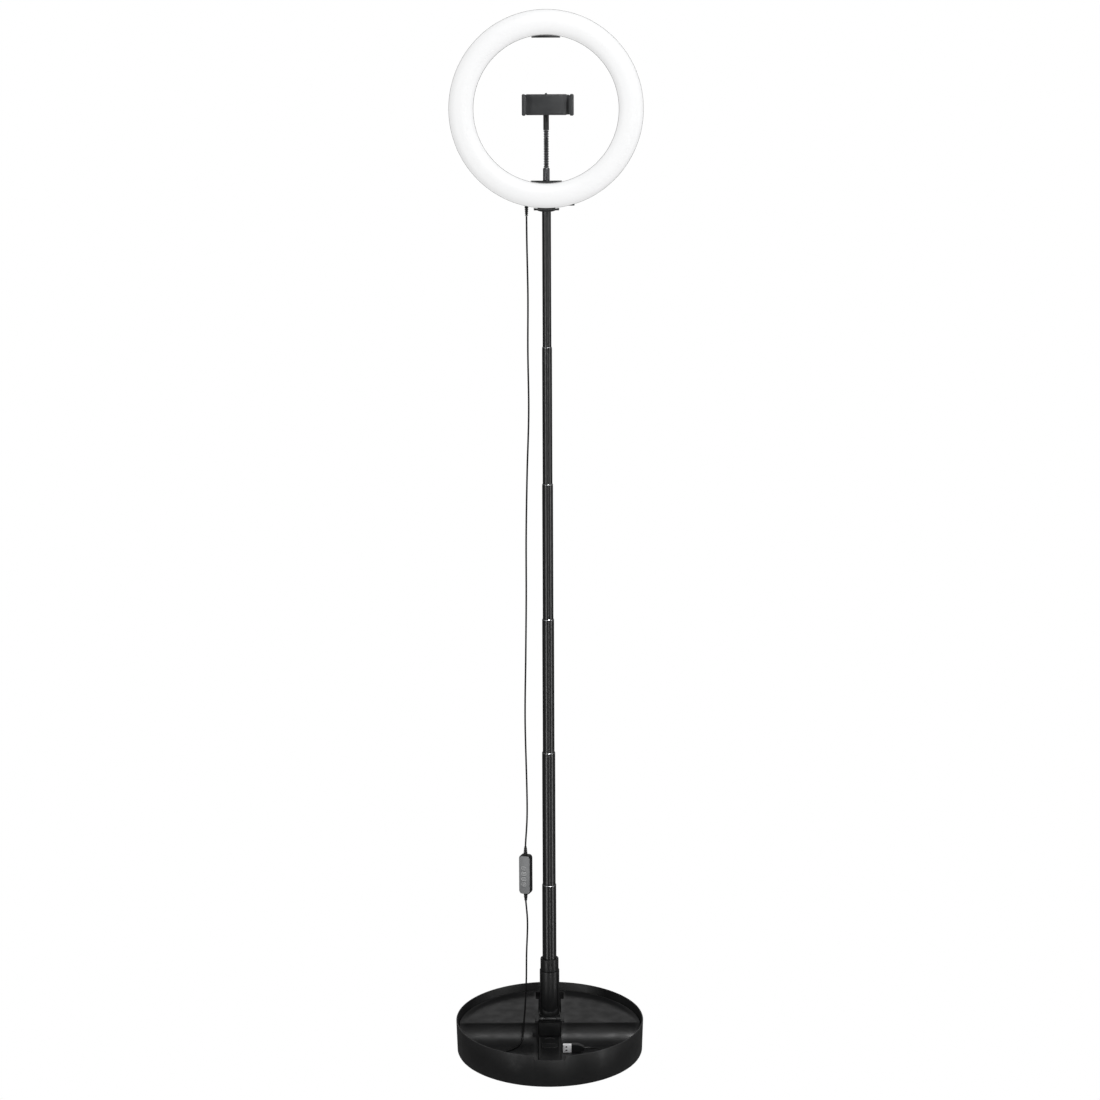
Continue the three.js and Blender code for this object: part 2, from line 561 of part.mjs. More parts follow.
function buildCord() {
  const group = section();
  let from = 0;
  [...CORD_BREAKS, -Infinity].forEach((z, i) => {
    let to = HANGING.findIndex((p) => p[2] <= z);
    if (to < 0) to = HANGING.length - 1;
    const points = HANGING.slice(from, to + 1).map((p) => [...p]);
    if (i > 0) points[0][2] -= GAP;
    tube(points, `cord_upper_${i + 1}`, group, 18);
    from = to;
  });
  tube(LOWER, "cord_lower", group, 12);
  tube(LANDING, "cord_landing", group, 8);
  const { x, y, middle, half } = COIL;
  const ring = pipe(middle + half, middle - half, WELL_FLOOR + GAP, WELL_FLOOR + GAP + 2 * half, 24);
  add(group, "cord_coil", ring.translate([x, y, 0]), looks.cord);
  tube(TAIL, "cord_tail", group, 8);

  // Inline switch: two shells that bulge at the sides, a board, four keys and a relief at each end.
  const s = SWITCH;
  const middleZ = (s.low + s.high) / 2;
  const halfX = s.width / 2;
  const halfZ = (s.high - s.low) / 2;
  const halfY = s.depth / 2;
  const place = (shape) => shape.rotate([0, 0, SWITCH_TURN]).translate([s.x, s.y, middleZ]);
  const bulge = 1.5;
  const flank = (halfZ ** 2 + bulge ** 2) / (2 * bulge);
  const sides = [-1, 1].map((side) => alongY(rod(flank, -8, 8, 240), side * (flank - halfX), 0));
  const outline = sides[0].intersect(sides[1]);
  const keyZ = (i) => 10.5 - i * KEY_PITCH;
  const front = cut(
    roundedBox(halfX, halfZ, 4, -halfY, -GAP / 2).intersect(outline),
    roundedBox(halfX - 3, halfZ - 1.6, 3, -halfY + 1.4, 1),
    ...[0, 1, 2, 3].map((i) => roundedBox(3.9, 2.9, 1.5, -halfY - 4, 0).translate([0, 0, keyZ(i)])),
  );
  add(group, "switch_front", place(front), looks.greyPlastic);
  const back = cut(
    roundedBox(halfX, halfZ, 4, GAP / 2, halfY).intersect(outline),
    roundedBox(halfX - 3, halfZ - 1.6, 3, -1, halfY - 1.4),
  );
  add(group, "switch_back", place(back), looks.blackPlastic);
  const board = box([-halfX + 3.6, 0.2, -halfZ + 3.6], [halfX - 3.6, 1.4, halfZ - 3.6]);
  add(group, "switch_board", place(board), looks.board);
  ["power", "brighter", "dimmer", "colour"].forEach((key, i) => {
    const cap = roundedBox(3.6, 2.6, 1.3, -halfY - 0.8, -1).translate([0, 0, keyZ(i)]);
    add(group, `key_${key}`, place(cap), looks.greyPlastic);
  });
  const top = s.high + GAP;
  const topRelief = turned([[0, top], [3.1, top], [2.1, top + 11.5], [0, top + 11.5]], 12);
  add(group, "switch_relief_top", topRelief.translate([s.x, s.y, 0]), looks.rubber);
  const low = s.low - GAP;
  const lowRelief = turned([[0, low - 10.2], [2.1, low - 10.2], [3.1, low], [0, low]], 12);
  add(group, "switch_relief_low", lowRelief.translate([s.x, s.y, 0]), looks.rubber);

  // Plug, standing on its edge against the rail, with its mouth to the left.
  const plugZ = 16.2;
  const plugY = -37;
  const shellOuter = box([18.8, plugY - 2.25, plugZ - 6], [31, plugY + 2.25, plugZ + 6]);
  const shellInner = box([18, plugY - 1.95, plugZ - 5.7], [30.4, plugY + 1.95, plugZ + 5.7]);
  const tongue = box([19.4, plugY - 0.2, plugZ - 5.4], [30.6, plugY + 1.7, plugZ + 5.4]);
  add(group, "plug_shell", join(cut(shellOuter, shellInner), tongue), looks.steel);
  const gripShape = new THREE.Shape([
    new THREE.Vector2(31.3, -6.4),
    new THREE.Vector2(40, -6.4),
    new THREE.Vector2(49, -2.6),
    new THREE.Vector2(49, 2.6),
    new THREE.Vector2(40, 6.4),
    new THREE.Vector2(31.3, 6.4),
  ]);
  const grip = new THREE.ExtrudeGeometry(gripShape, { depth: 8, bevelEnabled: false });
  grip.rotateX(Math.PI / 2).translate(0, plugY + 4, plugZ);
  const relief = turned([[0, 48], [2.4, 48], [1.8, 58], [0, 58]], 12);
  add(group, "plug_grip", join(solid(grip), alongX(relief, plugY, plugZ)), looks.blackPlastic);
}

buildBase();
buildCarriage();
buildPost();
buildMast();
buildHead();
buildRing();
buildHolder();
buildCord();

export default root;
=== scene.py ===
import math

import bmesh
import bpy
import numpy as np
from mathutils import Matrix, Vector


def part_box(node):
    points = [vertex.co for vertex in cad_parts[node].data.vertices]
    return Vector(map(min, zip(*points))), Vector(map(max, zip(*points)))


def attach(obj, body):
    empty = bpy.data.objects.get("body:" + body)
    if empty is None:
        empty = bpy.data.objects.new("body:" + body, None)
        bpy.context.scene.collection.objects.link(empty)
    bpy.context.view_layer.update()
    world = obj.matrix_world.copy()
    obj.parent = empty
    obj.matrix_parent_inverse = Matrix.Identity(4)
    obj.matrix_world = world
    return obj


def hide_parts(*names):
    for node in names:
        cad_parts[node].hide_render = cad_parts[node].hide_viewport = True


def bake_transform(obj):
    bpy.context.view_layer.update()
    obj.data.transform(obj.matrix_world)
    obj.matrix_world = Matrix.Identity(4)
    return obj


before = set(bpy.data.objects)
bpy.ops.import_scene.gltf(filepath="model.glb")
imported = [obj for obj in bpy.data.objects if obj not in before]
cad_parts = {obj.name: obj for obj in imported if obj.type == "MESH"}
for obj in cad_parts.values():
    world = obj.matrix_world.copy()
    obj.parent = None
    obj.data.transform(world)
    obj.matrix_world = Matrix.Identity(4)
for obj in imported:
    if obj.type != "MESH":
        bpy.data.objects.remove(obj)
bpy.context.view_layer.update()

# ---- Driving dimensions, in metres ----
MM = 0.001
BASE_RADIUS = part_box("base_pan")[1].x
BASE_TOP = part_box("base_pan")[1].z
BASE_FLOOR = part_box("base_pan")[0].z
WALL = 2 * MM
NOTCH_HALF = 22 * MM
NOTCH_DEPTH = 6 * MM
SHELF_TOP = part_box("tray")[1].z
WELL_FLOOR = 9.6 * MM
COVE_RADIUS = 25 * MM
SHELF_EDGE_Y = 10 * MM
RAIL_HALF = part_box("rail")[1].x
RING_Z = (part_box("diffuser")[0].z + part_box("diffuser")[1].z) / 2
RING_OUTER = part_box("diffuser")[1].x
RING_INNER = 97 * MM
RING_DEPTH = 11 * MM
HOLDER_Z = (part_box("holder_plate")[0].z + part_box("jaw_right")[1].z) / 2
CORD_DIAMETER = 2.4 * MM
SWITCH_X, SWITCH_Y = -33.6 * MM, 8 * MM
SWITCH_WIDTH, SWITCH_DEPTH, SWITCH_LENGTH = 20.4 * MM, 12 * MM, 57.7 * MM
SWITCH_TURN = -20  # degrees
SWITCH_BULGE = 0.22  # the share that each end is narrower than the middle
KEY_TOP = 10.5 * MM  # height of the first key above the switch's middle
KEY_PITCH = 8 * MM
MAST_WALL = 0.55 * MM
MOUTH_GAP = 0.15 * MM  # between a tube and the mouth that it slides in
BACK_SCREW_RADIUS = 113.5 * MM
CAMERA_LENS = 71.15
CAMERA_PLACE = (0.003, -2.954, 1.309)
CAMERA_PITCH = -11  # degrees from level
CAMERA_ROLL = -0.22  # degrees
FLOOR_RADIUS = 0.6
SMOOTH_ANGLE = math.radians(35)  # edges flatter than this are shaded smooth


# ---- Camera: at the ring's height, looking down 11 degrees ----
def build_camera():
    data = bpy.data.cameras.new("camera")
    data.lens = CAMERA_LENS
    data.sensor_width = 36
    camera = bpy.data.objects.new("camera", data)
    bpy.context.scene.collection.objects.link(camera)
    pitch = Matrix.Rotation(math.radians(90 + CAMERA_PITCH), 4, "X")
    roll = Matrix.Rotation(math.radians(CAMERA_ROLL), 4, "Z")
    camera.matrix_world = Matrix.Translation(CAMERA_PLACE) @ pitch @ roll
    bpy.context.scene.camera = camera


build_camera()


# ---- Mesh helpers ----
def new_object(name, verts, faces, smooth=True):
    mesh = bpy.data.meshes.new(name)
    mesh.from_pydata([tuple(v) for v in verts], [], faces)
    mesh.update()
    bm = bmesh.new()
    bm.from_mesh(mesh)
    bmesh.ops.remove_doubles(bm, verts=bm.verts, dist=1e-6)
    bmesh.ops.recalc_face_normals(bm, faces=bm.faces)
    bm.to_mesh(mesh)
    bm.free()
    obj = bpy.data.objects.new(name, mesh)
    bpy.context.scene.collection.objects.link(obj)
    if smooth:
        smooth_by_angle(obj)
    return obj


def smooth_by_angle(obj):
    mesh = obj.data
    mesh.shade_smooth()
    bm = bmesh.new()
    bm.from_mesh(mesh)
    for edge in bm.edges:
        edge.smooth = len(edge.link_faces) == 2 and edge.calc_face_angle(0) < SMOOTH_ANGLE
    bm.to_mesh(mesh)
    bm.free()


def apply_modifiers(obj):
    graph = bpy.context.evaluated_depsgraph_get()
    mesh = bpy.data.meshes.new_from_object(obj.evaluated_get(graph))
    obj.modifiers.clear()
    obj.data = mesh


def bevel(obj, width, segments=2, degrees=35):
    modifier = obj.modifiers.new("edges", "BEVEL")
    modifier.width = width
    modifier.segments = segments
    modifier.limit_method = "ANGLE"
    modifier.angle_limit = math.radians(degrees)
    apply_modifiers(obj)
    smooth_by_angle(obj)


def lathe(name, profile, segments, axis="Z", center=(0, 0, 0)):
    """A closed profile of (radius, height) turned about an axis through center."""
    count = len(profile)
    verts = []
    for s in range(segments):
        angle = 2 * math.pi * s / segments
        for radius, height in profile:
            a, b = radius * math.cos(angle), radius * math.sin(angle)
            place = {"Z": (a, b, height), "Y": (a, height, b), "X": (height, a, b)}[axis]
            verts.append(Vector(place) + Vector(center))
    faces = []
    for s in range(segments):
        t = (s + 1) % segments
        for i in range(count):
            j = (i + 1) % count
            quad = [s * count + i, t * count + i, t * count + j, s * count + j]
            on_axis = [profile[k][0] < 1e-9 for k in (i, j)]
            if all(on_axis):
                continue
            if on_axis[0]:
                quad = [quad[0], quad[2], quad[3]]
            elif on_axis[1]:
                quad = [quad[0], quad[1], quad[2]]
            faces.append(quad)
    return new_object(name, verts, faces)


def box_mesh(name, low, high, edge, segments=2):
    xs, ys, zs = zip(low, high)
    corners = [(x, y, z) for x in xs for y in ys for z in zs]
    faces = [(0, 1, 3, 2), (4, 6, 7, 5), (0, 4, 5, 1), (2, 3, 7, 6), (0, 2, 6, 4), (1, 5, 7, 3)]
    obj = new_object(name, corners, faces)
    bevel(obj, edge, segments)
    return obj


def extruded(name, outline, low_y, high_y):
    """An outline of (x, z) drawn out along Y."""
    count = len(outline)
    verts = [(x, y, z) for y in (low_y, high_y) for x, z in outline]
    faces = [list(range(count)), list(range(2 * count - 1, count - 1, -1))]
    faces += [[i, (i + 1) % count, count + (i + 1) % count, count + i] for i in range(count)]
    return new_object(name, verts, faces)


def rounded_plate(name, center, half_x, half_z, radius, low_y, high_y, edge):
    """A plate in the XZ plane with round corners and softened edges."""
    outline = []
    steps = 8  # along each corner
    for quarter, (sx, sz) in enumerate([(1, 1), (-1, 1), (-1, -1), (1, -1)]):
        for i in range(steps + 1):
            angle = math.pi / 2 * (quarter + i / steps)
            x = sx * (half_x - radius) + radius * math.cos(angle)
            z = sz * (half_z - radius) + radius * math.sin(angle)
            outline.append((center[0] + x, center[2] + z))
    obj = extruded(name, outline, center[1] + low_y, center[1] + high_y)
    bevel(obj, edge, 3, 50)
    return obj


def joined(name, parts):
    """One piece made of several."""
    bm = bmesh.new()
    for part in parts:
        bm.from_mesh(part.data)
        bpy.data.objects.remove(part)
    mesh = bpy.data.meshes.new(name)
    bm.to_mesh(mesh)
    bm.free()
    obj = bpy.data.objects.new(name, mesh)
    bpy.context.scene.collection.objects.link(obj)
    smooth_by_angle(obj)
    return obj


def refined(node, edge, segments=2, name=None):
    """A copy of a CAD node with its flat triangles joined and its edges rounded."""
    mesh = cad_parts[node].data.copy()
    mesh.materials.clear()
    bm = bmesh.new()
    bm.from_mesh(mesh)
    bmesh.ops.remove_doubles(bm, verts=bm.verts, dist=2e-6)
    bmesh.ops.dissolve_limit(bm, angle_limit=math.radians(1), verts=bm.verts, edges=bm.edges)
    bm.to_mesh(mesh)
    bm.free()
    obj = bpy.data.objects.new(name or node + "_fine", mesh)
    bpy.context.scene.collection.objects.link(obj)
    smooth_by_angle(obj)
    if edge:
        bevel(obj, edge, segments)
    return obj


def curve_through(points, step):
    """Points a step apart along a smooth curve through the given ones."""
    p = [Vector(q) for q in points]
    p = [2 * p[0] - p[1]] + p + [2 * p[-1] - p[-2]]
    out = []
    for i in range(1, len(p) - 2):
        a, b, c, d = p[i - 1], p[i], p[i + 1], p[i + 2]
        t0 = 0.0
        t1 = t0 + math.sqrt((b - a).length)
        t2 = t1 + math.sqrt((c - b).length)
        t3 = t2 + math.sqrt((d - c).length)
        count = max(1, round((c - b).length / step))
        for k in range(count):
            t = t1 + (t2 - t1) * k / count
            a1 = a.lerp(b, (t - t0) / (t1 - t0))
            a2 = b.lerp(c, (t - t1) / (t2 - t1))
            a3 = c.lerp(d, (t - t2) / (t3 - t2))
            b1 = a1.lerp(a2, (t - t0) / (t2 - t0))
            b2 = a2.lerp(a3, (t - t1) / (t3 - t1))
            out.append(b1.lerp(b2, (t - t1) / (t2 - t1)))
    out.append(p[-2])
    return out


def tube(name, line, radius, sides=12):
    """A tube with closed ends along a line of points, without twist."""
    normal = Vector((0, 1, 0.3)).normalized()
    verts = []
    for i, point in enumerate(line):
        ahead = line[min(i + 1, len(line) - 1)] - line[max(i - 1, 0)]
        ahead.normalize()
        normal = (normal - ahead * normal.dot(ahead)).normalized()
        side = ahead.cross(normal)
        for k in range(sides):
            angle = 2 * math.pi * k / sides
            verts.append(point + radius * (math.cos(angle) * normal + math.sin(angle) * side))
    faces = []
    for i in range(len(line) - 1):
        for k in range(sides):
            n = (k + 1) % sides
            faces.append([i * sides + k, i * sides + n, (i + 1) * sides + n, (i + 1) * sides + k])
    faces.append(list(range(sides))[::-1])
    faces.append([len(verts) - sides + k for k in range(sides)])
    return new_object(name, verts, faces)


# ---- Materials ----
def make_material(
    name, color, roughness, metallic=0.0, bump=0.15, grain=1800.0, mottle=0.25,
    rough_spread=0.08, emission=0.0, edge_highlight=0.0, specular=0.5,
):
    """Colour and roughness that vary gently over a surface with a fine moulded or sprayed grain."""
    mat = bpy.data.materials.new(name)
    mat.use_nodes = True
    nodes, links = mat.node_tree.nodes, mat.node_tree.links
    shader = nodes["Principled BSDF"]
    shader.inputs["Metallic"].default_value = metallic
    shader.inputs["Specular IOR Level"].default_value = specular
    place = nodes.new("ShaderNodeTexCoord")

    def noise(scale, detail):
        node = nodes.new("ShaderNodeTexNoise")
        node.inputs["Scale"].default_value = scale
        node.inputs["Detail"].default_value = detail
        links.new(place.outputs["Object"], node.inputs["Vector"])
        return node

    def ramp(source, stops):
        node = nodes.new("ShaderNodeValToRGB")
        for element, (at, value) in zip(node.color_ramp.elements, stops):
            element.position = at
            element.color = (*value, 1) if isinstance(value, tuple) else (value, value, value, 1)
        links.new(source, node.inputs["Fac"])
        return node

    broad = noise(28, 4)
    dark = tuple(c * (1 - mottle) for c in color)
    tint = ramp(broad.outputs["Fac"], [(0.35, dark), (0.65, color)])
    colour_out = tint.outputs["Color"]
    # Painted highlight: sharp convex edges are made lighter, as if they caught the light.
    if edge_highlight:
        geometry = nodes.new("ShaderNodeNewGeometry")
        edges = ramp(geometry.outputs["Pointiness"], [(0.52, 0.0), (0.6, 1.0)])
        mix = nodes.new("ShaderNodeMix")
        mix.data_type = "RGBA"
        links.new(edges.outputs["Color"], mix.inputs["Factor"])
        links.new(colour_out, mix.inputs[6])
        mix.inputs[7].default_value = (*[c + edge_highlight for c in color], 1)
        colour_out = mix.outputs[2]
    links.new(colour_out, shader.inputs["Base Color"])
    smudge = noise(65, 6)
    low, high = max(0.02, roughness - rough_spread), min(1.0, roughness + rough_spread)
    rough = ramp(smudge.outputs["Fac"], [(0.3, low), (0.7, high)])
    links.new(rough.outputs["Color"], shader.inputs["Roughness"])
    if emission:
        shader.inputs["Emission Color"].default_value = (1, 1, 1, 1)
        shader.inputs["Emission Strength"].default_value = emission
    if bump:
        fine = noise(grain, 3)
        node = nodes.new("ShaderNodeBump")
        node.inputs["Strength"].default_value = bump
        node.inputs["Distance"].default_value = 0.0002
        links.new(fine.outputs["Fac"], node.inputs["Height"])
        links.new(node.outputs["Normal"], shader.inputs["Normal"])
    return mat


# Colour, roughness and what else each look has.
LOOKS = {
    "black_plastic": ((0.008, 0.0083, 0.0086), 0.42, {"bump": 0.2}),
    # This look, satin_plastic and rail_plastic get a painted highlight along their sharp edges.
    "base_plastic": ((0.0078, 0.008, 0.0083), 0.46, {"bump": 0.2, "edge_highlight": 0.03}),
    "satin_plastic": ((0.034, 0.0355, 0.037), 0.36, {"bump": 0.12, "edge_highlight": 0.02}),
    "black_enamel": (
        (0.003, 0.003, 0.0033), 0.3, {"bump": 0.0, "rough_spread": 0.01, "specular": 0.85}
    ),
    "rail_plastic": ((0.005, 0.0052, 0.0054), 0.55, {"bump": 0.25, "edge_highlight": 0.02, "specular": 0.3}),
    "gunmetal": ((0.12, 0.12, 0.125), 0.28, {"metallic": 1.0, "bump": 0.0, "mottle": 0.1}),
    "steel": (
        (0.62, 0.63, 0.64), 0.3, {"metallic": 1.0, "bump": 0.06, "grain": 900, "mottle": 0.12}
    ),
    "bright_steel": ((0.97, 0.97, 0.98), 0.42, {"bump": 0.06, "grain": 900, "mottle": 0.08}),
    "raw_steel": ((0.16, 0.16, 0.165), 0.55, {"metallic": 1.0, "bump": 0.4, "grain": 600}),
    "opal": (
        (0.25, 0.252, 0.255), 0.45, {"bump": 0.03, "grain": 700, "mottle": 0.03, "emission": 0.66}
    ),
    "board": ((0.78, 0.78, 0.74), 0.5, {"bump": 0.1, "mottle": 0.1}),
    "rubber": ((0.018, 0.018, 0.019), 0.7, {"bump": 0.35, "grain": 1300}),
    "grey_plastic": ((0.25, 0.255, 0.26), 0.45, {"bump": 0.2, "mottle": 0.12}),
    "key_mark": ((0.62, 0.625, 0.63), 0.45, {"bump": 0.1, "mottle": 0.1}),
    "cord": ((0.006, 0.006, 0.0063), 0.55, {"grain": 900, "mottle": 0.2, "specular": 0.25}),
    # Painted shade for the inside of the plug's two windows.
    "window_shade": ((0.01, 0.01, 0.01), 0.8, {"bump": 0.1}),
}
MATERIALS = {
    name: make_material(name, color, roughness, **extra)
    for name, (color, roughness, extra) in LOOKS.items()
}


def finish(obj, look, body, *nodes):
    """Gives a piece its material, body and the CAD nodes that it stands for."""
    obj.data.materials.clear()
    obj.data.materials.append(MATERIALS[look])
    if nodes:
        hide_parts(*nodes)
    if body:
        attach(obj, body)
    return obj


# ---- Inline switch and plug ----
# Bars of a key's outline and of each sign, in mm: middle x and z, half width and half height.
KEY_OUTLINE = [(0, 2.3, 2.9, 0.36), (0, -2.3, 2.9, 0.36), (-3.3, 0, 0.36, 1.7), (3.3, 0, 0.36, 1.7)]
KEY_SIGNS = {
    "power": [(0, 0.3, 0.35, 0.9)],
    "brighter": [(0, 0, 1.2, 0.28), (0, 0, 0.28, 1.2)],
    "dimmer": [(0, 0, 1.2, 0.28)],
    "colour": [(-0.7, 0, 0.45, 0.45), (0.7, 0, 0.45, 0.45)],
}


def key_mark(name, key, z):
    """A raised outline on a key, with a small sign in it: a bar, a plus, a minus or two dots."""
    face = -SWITCH_DEPTH / 2
    proud, deep = face - 1.15 * MM, face - 0.9 * MM
    parts = []
    for x, dz, half_x, half_z in KEY_SIGNS[key] + KEY_OUTLINE:
        low = ((x - half_x) * MM, proud, z + (dz - half_z) * MM)
        high = ((x + half_x) * MM, deep, z + (dz + half_z) * MM)
        parts.append(box_mesh("bar", low, high, 0.08 * MM, 1))
    return on_switch(joined(name + "_mark", parts), "key_mark", name)


def on_switch(obj, look, body, *nodes):
    """Places a piece that is built round the switch's own middle."""
    middle_z = (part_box("switch_back")[0].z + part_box("switch_back")[1].z) / 2
    turn = Matrix.Rotation(math.radians(SWITCH_TURN), 4, "Z")
    obj.data.transform(Matrix.Translation((SWITCH_X, SWITCH_Y, middle_z)) @ turn)
    return finish(obj, look, body, *nodes)


def bulge(obj):
    """Draws a case's ends in, so that its sides swell towards the middle."""
    for vertex in obj.data.vertices:
        from_middle = abs(vertex.co.z) / (SWITCH_LENGTH / 2)
        vertex.co.x *= 1 - SWITCH_BULGE * min(1.0, from_middle) ** 2


def build_switch():
    half_x, half_z, half_y = SWITCH_WIDTH / 2, SWITCH_LENGTH / 2, SWITCH_DEPTH / 2
    inset = 0.9 * MM  # of the front shell within the back shell
    front = rounded_plate(
        "switch_face", (0, 0, 0), half_x - inset, half_z - inset, 4 * MM,
        -half_y, -half_y + 2.6 * MM, 0.8 * MM,
    )
    bulge(front)
    pieces = [on_switch(front, "grey_plastic", "post", "switch_front", "switch_board")]
    back = rounded_plate(
        "switch_shell", (0, 0, 0), half_x, half_z, 4.5 * MM, -half_y + 1.2 * MM, half_y, 1.4 * MM
    )
    bulge(back)
    pieces.append(on_switch(back, "black_plastic", "post", "switch_back"))
    for i, key in enumerate(("power", "brighter", "dimmer", "colour")):
        name = "key_" + key
        z = KEY_TOP - KEY_PITCH * i
        cap = rounded_plate(
            name + "_cap", (0, 0, z), 3.6 * MM, 2.6 * MM, 1.3 * MM,
            -half_y - 0.95 * MM, -half_y + 0.2 * MM, 0.3 * MM,
        )
        pieces.append(on_switch(cap, "grey_plastic", name, name))
        pieces.append(key_mark(name, key, z))
    return pieces


def ribbed_relief(node):
    """A tapered strain relief with deep rings round it."""
    low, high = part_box(node)
    axis_x, axis_y = (low.x + high.x) / 2, (low.y + high.y) / 2
    wide, narrow, groove = (high.x - low.x) / 2, 2 * MM, 0.75 * MM
    wide_end_up = node != "switch_relief_top"
    rings = 6 if node == "gland_relief" else 4
    profile = [(0, low.z)]
    steps = rings * 8
    for i in range(steps + 1):
        share = i / steps
        radius = narrow + (wide - narrow) * (share if wide_end_up else 1 - share)
        if 0 < i < steps and i % 8 in (5, 6, 7):
            radius -= groove
        profile.append((radius, low.z + share * (high.z - low.z)))
    profile.append((0, high.z))
    body = "ring" if node == "gland_relief" else "post"
    piece = lathe(node + "_fine", profile, 32, "Z", (axis_x, axis_y, 0))
    return finish(piece, "rubber", body, node)


def build_plug():
    shell = refined("plug_shell", 0.12 * MM, 2, "usb_shell")
    pieces = [finish(shell, "bright_steel", "base", "plug_shell")]
    low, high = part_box("plug_shell")
    # Painted shade: a dark patch in each of the shell's two windows stands for the shade inside it.
    for i, z in enumerate((-2.6, 2.6)):
        centre_z = (low.z + high.z) / 2 + z * MM
        hole = box_mesh(
            f"usb_window_shade_{i + 1}", (22.5 * MM, low.y - 0.05 * MM, centre_z - 1.1 * MM),
            (25 * MM, low.y + 0.2 * MM, centre_z + 1.1 * MM), 0.03 * MM, 1,
        )
        pieces.append(finish(hole, "window_shade", "base"))
    grip = refined("plug_grip", 0.9 * MM, 3, "usb_grip")
    pieces.append(finish(grip, "black_plastic", "base", "plug_grip"))
    return pieces


# ---- Cord ----
# Points on the cord's route, in mm, from the ring down to the coil and on to the plug.
HANGING = [
    (-27, 14.6, 1191.7), (-26.8, 13.8, 1160), (-25.7, 12.6, 1085), (-26.2, 12, 1012),
    (-25.5, 11.6, 925), (-28.2, 11.2, 839), (-30, 10.8, 752), (-30.4, 10.4, 666),
    (-31.6, 10, 580), (-33, 9.4, 493), (-31, 8.6, 350), (-33.6, 8, 302.7), (-33.6, 8, 284),
]
LOWER = [(-33.6, 8, 222.1), (-31.4, 7.8, 190), (-33, 7, 140), (-33.6, 6, 100), (-35.5, 4, 60)]
LANDING = [
    (-35.5, 4, 59.7), (-37.2, 1.6, 40), (-38.4, -2.5, 23), (-42, -12, 12.8),
    (-52, -26, 11.1), (-66, -38, 11.1), (-79, -50, 11.1), (-86.5, -62, 11.1),
]
TAIL = [
    (-54, -95, 12), (-46, -102, 11.1), (-38, -107.5, 12), (-28, -109, 17),
    (-20, -109, 24), (-12, -109, 26.4), (0, -109, 26.6), (12, -109, 26.4), (20, -109, 24),
    (28, -109, 17), (38, -109, 12), (50, -106, 11.1), (66, -98, 11.1), (82, -82, 11.1),
    (88, -63, 11.4), (82, -46, 13.2), (72, -39, 15.4), (58.3, -37, 16.2),
]
COIL_CENTER = (-72, -78)
COIL_RADII = (15.45, 13, 10.55)
COIL_LEVELS = (11.1, 13.55, 16)
# Each piece of the hanging cord: where it ends, and the bodies of the mast joint that it spans.
CORD_SPANS = [
    (1160, "ring", "head", "cord_upper_1"),
    (1012, "head", "mast_5", "cord_upper_2"),
    (839, "mast_5", "mast_4", "cord_upper_3"),
    (666, "mast_4", "mast_3", "cord_upper_4"),
    (493, "mast_3", "mast_2", "cord_upper_5"),
    (302.7, "mast_2", "post", "cord_upper_6"),
]


def metres(points):
    return [Vector(p) * MM for p in points]


def coil_points():
    """Seven and a quarter turns: in along the bottom layer, out along the next, and one on top."""
    # Each turn's place among the radii and among the levels.
    slots = [(0, 0), (1, 0), (2, 0), (2, 1), (1, 1), (0, 1), (0, 2)]
    points = []
    per_turn = 24
    for turn, (ring, level) in enumerate(slots):
        following = slots[min(turn + 1, len(slots) - 1)]
        last = turn == len(slots) - 1
        steps = per_turn + (per_turn // 4 if last else 0)
        for i in range(steps):
            share = i / per_turn
            ease = 0.0 if last else max(0.0, (share - 0.75) / 0.25)
            radius = COIL_RADII[ring] + ease * (COIL_RADII[following[0]] - COIL_RADII[ring])
            height = COIL_LEVELS[level] + ease * (COIL_LEVELS[following[1]] - COIL_LEVELS[level])
            angle = math.pi + 2 * math.pi * share
            x = COIL_CENTER[0] + radius * math.cos(angle)
            y = COIL_CENTER[1] + radius * math.sin(angle)
            points.append((x, y, height))
    return points


def build_cords():
    whole = curve_through(metres(HANGING), 2.5 * MM)
    start = 0
    for low, above, below, node in CORD_SPANS:
        end = min(range(len(whole)), key=lambda i: abs(whole[i].z - low * MM))
        line = whole[start:] if node == "cord_upper_6" else whole[start : end + 1]
        piece = tube("hanging_" + node[-1], line, CORD_DIAMETER / 2)
        finish(piece, "cord", None, node)
        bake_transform(piece)
        pieces = [ribbed_relief("gland_relief")] if node == "cord_upper_1" else []
        if node == "cord_upper_6":
            pieces = [ribbed_relief("switch_relief_top")] + build_switch()
        start = end

    line = curve_through(metres(LOWER), 2.5 * MM)
    piece = tube("hanging_7", line, CORD_DIAMETER / 2)
    finish(piece, "cord", None, "cord_lower")
    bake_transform(piece)
    ribbed_relief("switch_relief_low")

    line = curve_through(metres(LANDING + coil_points() + TAIL), 1.5 * MM)
    piece = tube("stored_lead", line, CORD_DIAMETER / 2)
    finish(piece, "cord", None, "cord_landing", "cord_coil", "cord_tail")
    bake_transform(piece)
    build_plug()


build_cords()


